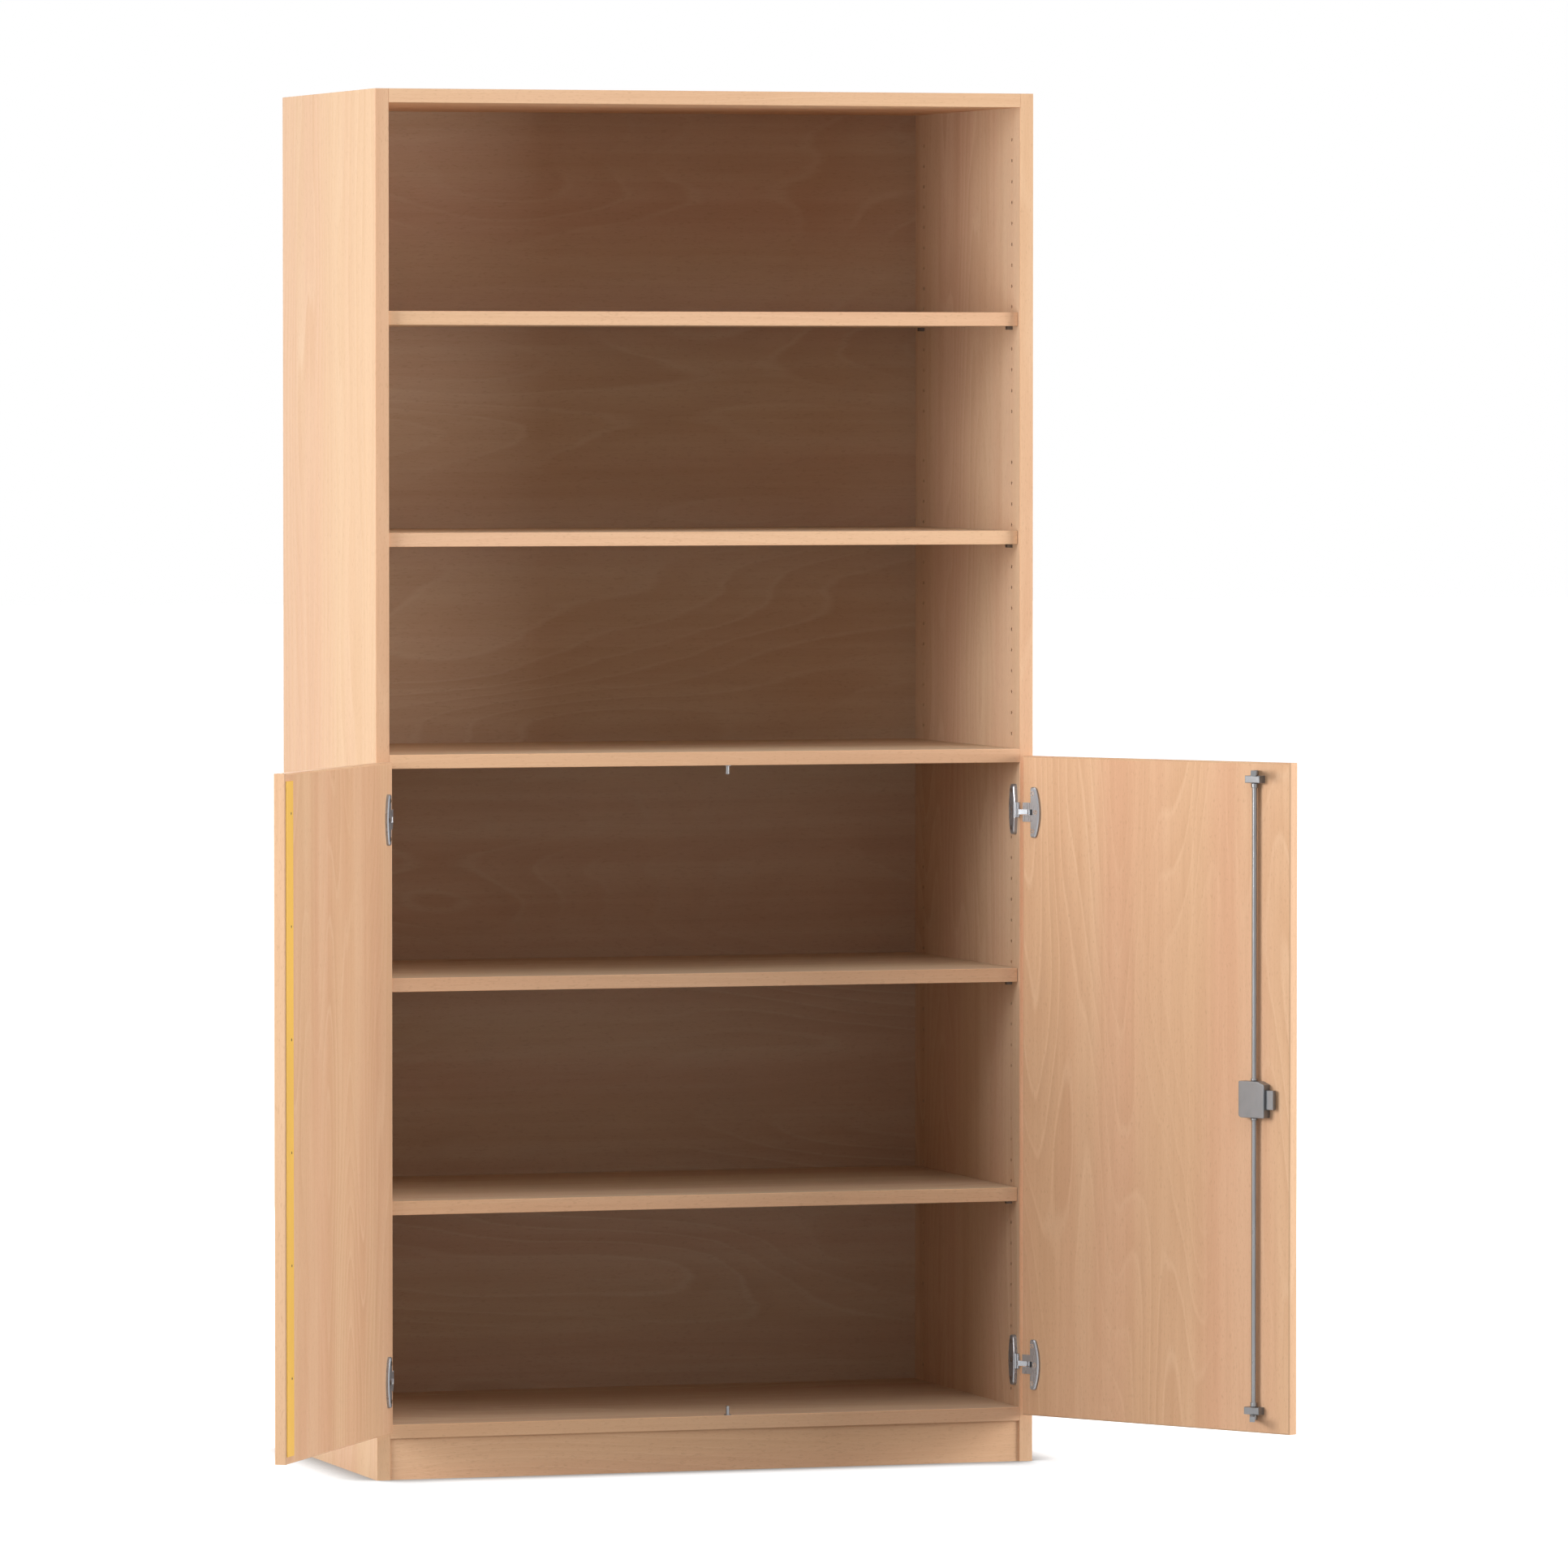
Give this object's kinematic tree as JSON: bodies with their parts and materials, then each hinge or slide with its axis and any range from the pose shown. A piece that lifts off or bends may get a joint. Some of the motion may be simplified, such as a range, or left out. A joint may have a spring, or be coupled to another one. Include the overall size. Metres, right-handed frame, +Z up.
{
  "type": "cupboard with open shelves",
  "caption": "Tall free-standing bookcase in beech board: open shelves above, and below them shelves behind two hinged doors with a rotary rod lock.",
  "frame": {"origin": "on the floor, under the middle of the front plinth, halfway through its thickness", "axes": "+Z up, +X to the right seen from the front, +Y from the front to the back"},
  "size_m": [1.4372, 0.9055, 1.9],
  "materials": {
    "beech_board": "satin beech veneer",
    "back_board": "satin beech veneer",
    "edge_band": "satin beech band",
    "strip": "matt yellow",
    "support_metal": "dark zinc",
    "dowel_wood": "plain beech",
    "screw_steel": "zinc plated",
    "hinge_metal": "satin nickel",
    "lock_metal": "satin nickel",
    "rod_steel": "zinc plated",
    "cylinder_brass": "satin brass"
  },
  "bodies": {
    "carcass": {"side_panel_left": "beech_board", "edge_band_side_left": "edge_band", "side_panel_right": "beech_board", "edge_band_side_right": "edge_band", "top_panel": "beech_board", "edge_band_top_panel": "edge_band", "middle_panel": "beech_board", "edge_band_middle_panel": "edge_band", "bottom_panel": "beech_board", "edge_band_bottom_panel": "edge_band", "back_panel": "back_board", "plinth_front": "beech_board", "plinth_rear": "beech_board", "panel_dowels_left": "dowel_wood", "panel_dowels_right": "dowel_wood", "shelf_open_lower": "beech_board", "shelf_open_upper": "beech_board", "shelf_closed_lower": "beech_board", "shelf_closed_upper": "beech_board", "edge_bands_shelves": "edge_band", "shelf_supports": "support_metal", "hinge_base_upper_left": "hinge_metal", "hinge_base_lower_left": "hinge_metal", "hinge_base_upper_right": "hinge_metal", "hinge_base_lower_right": "hinge_metal", "hinge_base_screws": "screw_steel", "striker_pin_upper": "rod_steel", "striker_pin_lower": "rod_steel"},
    "door_left": {"hinge_leaf_upper_left": "hinge_metal", "hinge_leaf_lower_left": "hinge_metal", "hinge_pins_left": "hinge_metal", "hinge_leaf_screws_left": "screw_steel", "door_panel_left": "beech_board", "edge_bands_door_left": "edge_band", "closing_strip": "strip", "closing_strip_screws": "screw_steel"},
    "door_right": {"hinge_leaf_upper_right": "hinge_metal", "hinge_leaf_lower_right": "hinge_metal", "hinge_pins_right": "hinge_metal", "hinge_leaf_screws_right": "screw_steel", "door_panel_right": "beech_board", "edge_bands_door_right": "edge_band", "lock_case": "lock_metal", "lock_base_plate": "lock_metal", "spindle_bush": "rod_steel", "rod_guides": "lock_metal", "lock_screws": "screw_steel", "knob_rosette": "lock_metal"},
    "knob": {"lock_spindle": "rod_steel", "turn_knob": "lock_metal"},
    "key_cylinder": {"key_cylinder": "cylinder_brass"},
    "rod": {"lock_rod": "rod_steel", "rod_hooks": "rod_steel", "rod_driver": "rod_steel", "rod_collars": "rod_steel"},
    "tongue": {"lock_tongue": "rod_steel"}
  },
  "joints": [
    {"name": "door_left_hinge", "type": "hinge", "parent": "carcass", "child": "door_left", "pos_m": [-0.4636, -0.0248, 0.52075], "axis": [0, 0, -1], "range_deg": [-122.8, 12.2]},
    {"name": "door_right_hinge", "type": "hinge", "parent": "carcass", "child": "door_right", "pos_m": [0.4636, -0.0248, 0.52075], "axis": [0, 0, 1], "range_deg": [-122.8, 12.2]},
    {"name": "knob_turn", "type": "hinge", "parent": "door_right", "child": "knob", "pos_m": [0.67524, -0.37129, 0.5225], "axis": [0.8406, 0.5417, 0], "range_deg": [0, 90]},
    {"name": "rod_turn", "type": "hinge", "parent": "door_right", "child": "rod", "pos_m": [0.66936, -0.37509, 0.5225], "axis": [0, 0, 1], "range_deg": [0, 40.5]},
    {"name": "tongue_slide", "type": "slide", "parent": "door_right", "child": "tongue", "axis": [0.5417, -0.8406, 0], "range_m": [0, 0.0332]},
    {"name": "key_turn", "type": "hinge", "parent": "knob", "child": "key_cylinder", "pos_m": [0.67524, -0.37129, 0.5225], "axis": [0.8406, 0.5417, 0], "range_deg": [0, 90]}
  ],
  "couplings": [
    {"joint": "rod_turn", "follows": "knob_turn", "ratio": 0.45},
    {"joint": "tongue_slide", "follows": "knob_turn", "m_per_rad": 0.021136}
  ]
}
